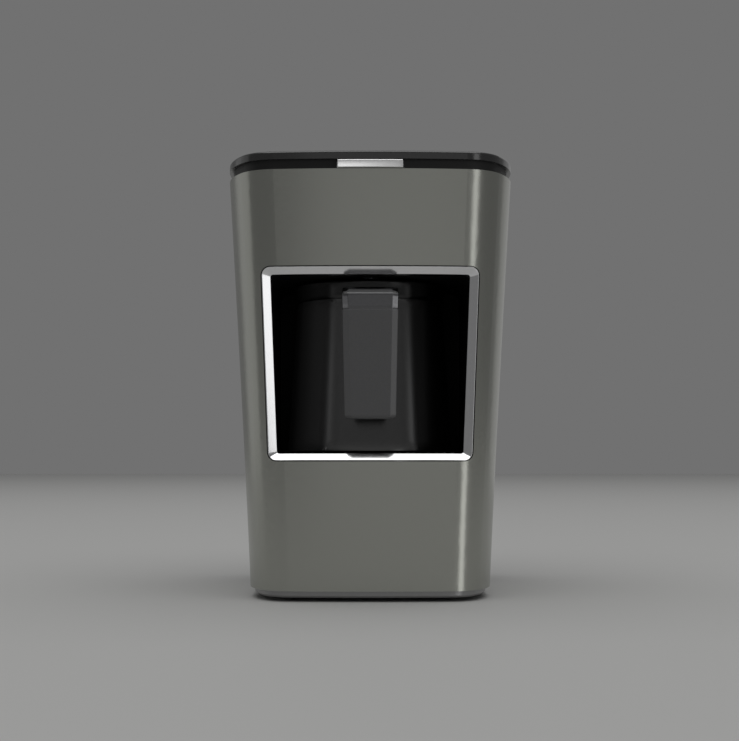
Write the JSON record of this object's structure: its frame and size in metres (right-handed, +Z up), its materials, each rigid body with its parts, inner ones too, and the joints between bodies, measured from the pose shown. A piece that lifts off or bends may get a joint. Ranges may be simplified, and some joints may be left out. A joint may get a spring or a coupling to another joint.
{
  "type": "electric turkish coffee maker",
  "caption": "Free-standing electric Turkish coffee maker: metallic housing with a framed heated cavity, slide-out handled pot, lift-off rear water tank and push keys.",
  "frame": {"origin": "under the middle of the object, on the surface it stands on", "axes": "+Z up, the front faces -Y, +X to the right seen from the front"},
  "size_m": [0.1852, 0.225, 0.28],
  "materials": {
    "shell_metal": "warm anthracite metallic, satin",
    "frame_chrome": "polished",
    "liner_black": "matt black, heat resistant",
    "black_gloss": "gloss black",
    "black_matt": "fine matt black",
    "base_grey": "dark grey, fine texture",
    "key_metal": "satin",
    "pot_metal": "dark non-stick coating, satin",
    "handle_metal": "black chrome",
    "grip_matt": "matt soft touch",
    "steel": "plain",
    "aluminium": "cast",
    "rubber_black": "matt",
    "silicone": "milky translucent",
    "tank_smoke": "smoky clear",
    "lens_clear": "clear",
    "board_green": "solder mask",
    "white_plastic": "plain"
  },
  "bodies": {
    "housing": {"outer_shell": "shell_metal", "window_frame": "frame_chrome", "cavity_liner": "liner_black", "spine_wall": "black_matt", "base_tray": "base_grey", "liner_legs": "black_matt", "base_screws": "steel", "rubber_feet": "rubber_black", "rear_plinth": "black_matt", "top_collar": "black_gloss", "control_deck": "black_gloss", "deck_screws": "steel", "hot_plate": "aluminium", "heating_element": "steel", "thermostat": "steel", "heat_shield": "steel", "brew_head_cover": "liner_black", "water_spout": "steel", "sensor_window": "lens_clear", "cavity_lamp": "lens_clear", "pump_body": "white_plastic", "pump_cushions": "rubber_black", "inlet_hose": "silicone", "outlet_hose": "silicone", "tank_dock": "black_matt", "dock_seal": "silicone", "power_board": "board_green", "power_components": "black_matt", "terminal_block": "white_plastic", "cord_gland": "black_matt", "control_board": "board_green", "board_screws": "steel", "key_switches": "black_matt", "status_lenses": "lens_clear", "buzzer": "black_matt", "start_switch": "black_matt", "start_key_guide": "black_matt"},
    "start_key": {"start_key_bar": "key_metal", "start_key_stem": "steel", "start_key_spring": "steel"},
    "first_cup_key": {"cup_key_1": "black_gloss"},
    "second_cup_key": {"cup_key_2": "black_gloss"},
    "third_cup_key": {"cup_key_3": "black_gloss"},
    "water_tank": {"tank_shell": "tank_smoke", "tank_rim": "black_gloss", "hinge_pins": "steel", "tank_valve_body": "black_matt", "valve_spring": "steel"},
    "tank_lid": {"tank_lid_cover": "black_gloss", "lid_gasket": "silicone"},
    "tank_valve": {"valve_plunger": "white_plastic", "valve_seal": "silicone"},
    "coffee_pot": {"pot_vessel": "pot_metal", "pot_rim": "pot_metal", "pot_base_disc": "aluminium", "handle_bracket": "handle_metal", "handle_front": "grip_matt", "handle_rear": "grip_matt", "handle_cap": "grip_matt", "handle_screws": "steel"}
  },
  "joints": [
    {"name": "start_key_press", "type": "slide", "parent": "housing", "child": "start_key", "axis": [0, 1, 0], "range_m": [0, 0.0015], "stiffness_N_per_m": 600, "springref_m": -0.002, "deforming": ["start_key_spring"]},
    {"name": "first_cup_key_press", "type": "slide", "parent": "housing", "child": "first_cup_key", "axis": [0, 0, -1], "range_m": [0, 0.0012], "stiffness_N_per_m": 600, "springref_m": -0.002},
    {"name": "second_cup_key_press", "type": "slide", "parent": "housing", "child": "second_cup_key", "axis": [0, 0, -1], "range_m": [0, 0.0012], "stiffness_N_per_m": 600, "springref_m": -0.002},
    {"name": "third_cup_key_press", "type": "slide", "parent": "housing", "child": "third_cup_key", "axis": [0, 0, -1], "range_m": [0, 0.0012], "stiffness_N_per_m": 600, "springref_m": -0.002},
    {"name": "tank_lift", "type": "slide", "parent": "housing", "child": "water_tank", "axis": [0, 0, 1], "range_m": [0, 0.25]},
    {"name": "lid_hinge", "type": "hinge", "parent": "water_tank", "child": "tank_lid", "pos_m": [0, 0.1051, 0.2713], "axis": [-1, 0, 0], "range_deg": [0, 100]},
    {"name": "valve_lift", "type": "slide", "parent": "water_tank", "child": "tank_valve", "axis": [0, 0, 1], "range_m": [0, 0.003], "stiffness_N_per_m": 150, "springref_m": -0.006, "deforming": ["valve_spring"]},
    {"name": "pot_slide", "type": "slide", "parent": "housing", "child": "coffee_pot", "axis": [0, -1, 0], "range_m": [0, 0.15]}
  ]
}
